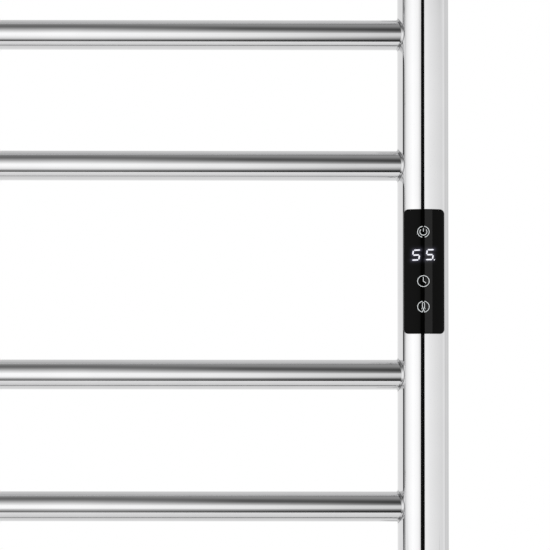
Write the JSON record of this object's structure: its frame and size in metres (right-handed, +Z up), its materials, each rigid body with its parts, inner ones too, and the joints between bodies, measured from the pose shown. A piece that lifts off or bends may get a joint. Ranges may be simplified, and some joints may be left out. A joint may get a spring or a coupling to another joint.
{
  "type": "towel warmer rack",
  "caption": "Wall-hung electric towel warmer: two round posts, round cross bars in two groups, curved touch panel on one post, adjustable wall brackets.",
  "frame": {"origin": "middle of the four wall plates, on the wall plane", "axes": "+Z up along the posts, +Y into the wall, +X to the viewer's right, the post with the controller; the front faces -Y"},
  "size_m": [0.538, 0.1019, 0.6553],
  "materials": {
    "polished_tube": "mirror polished stainless steel",
    "polished_fitting": "mirror polished stainless steel, turned",
    "black_lens": "gloss black, curved",
    "silicone_seal": "matt",
    "cable_jacket": "matt silicone",
    "controller_plastic": "fine matt moulding",
    "circuit_board": "solder resist",
    "black_component": "satin moulding",
    "terminal_plastic": "satin moulding",
    "fuse_glass": "clear tube with metal ends",
    "bright_steel": "plated, bright",
    "blackened_steel": "black oxide",
    "screw_brass": "plain",
    "gland_nylon": "satin nylon"
  },
  "bodies": {
    "wall_side": {"wall_plate_top_left": "polished_fitting", "wall_plate_bottom_left": "polished_fitting", "wall_plate_top_right": "polished_fitting", "wall_plate_bottom_right": "polished_fitting", "escutcheon_top_left": "polished_fitting", "escutcheon_bottom_left": "polished_fitting", "escutcheon_top_right": "polished_fitting", "escutcheon_bottom_right": "polished_fitting", "grub_screw_top_left": "blackened_steel", "grub_screw_bottom_left": "blackened_steel", "grub_screw_top_right": "blackened_steel", "grub_screw_bottom_right": "blackened_steel"},
    "rack": {"bar_1": "polished_tube", "bar_2": "polished_tube", "bar_3": "polished_tube", "bar_4": "polished_tube", "bar_5": "polished_tube", "bar_6": "polished_tube", "left_post": "polished_tube", "right_post": "polished_tube", "left_post_top_cap": "polished_fitting", "left_post_bottom_cap": "polished_fitting", "right_post_top_cap": "polished_fitting", "right_post_bottom_cap": "polished_fitting", "spindle_top_left": "polished_fitting", "spindle_bottom_left": "polished_fitting", "spindle_top_right": "polished_fitting", "spindle_bottom_right": "polished_fitting", "heating_cable": "cable_jacket", "control_cover": "black_lens", "control_seal": "silicone_seal", "control_tray": "controller_plastic", "display_board": "circuit_board", "power_board": "circuit_board", "board_link": "black_component", "board_spacer_top": "controller_plastic", "board_spacer_bottom": "controller_plastic", "board_screw_top": "bright_steel", "board_screw_bottom": "bright_steel", "digit_display": "black_component", "touch_spring_power": "bright_steel", "touch_spring_timer": "bright_steel", "touch_spring_heat": "bright_steel", "relay": "black_component", "fuse": "fuse_glass", "terminal_block": "terminal_plastic", "temperature_probe": "bright_steel", "probe_holder": "silicone_seal", "cable_gland": "gland_nylon", "gland_nut": "gland_nylon", "earth_tag": "bright_steel", "earth_screw": "screw_brass"}
  },
  "joints": [
    {"name": "projection", "type": "slide", "parent": "wall_side", "child": "rack", "axis": [0, -1, 0], "range_m": [-0.005, 0.01]}
  ]
}
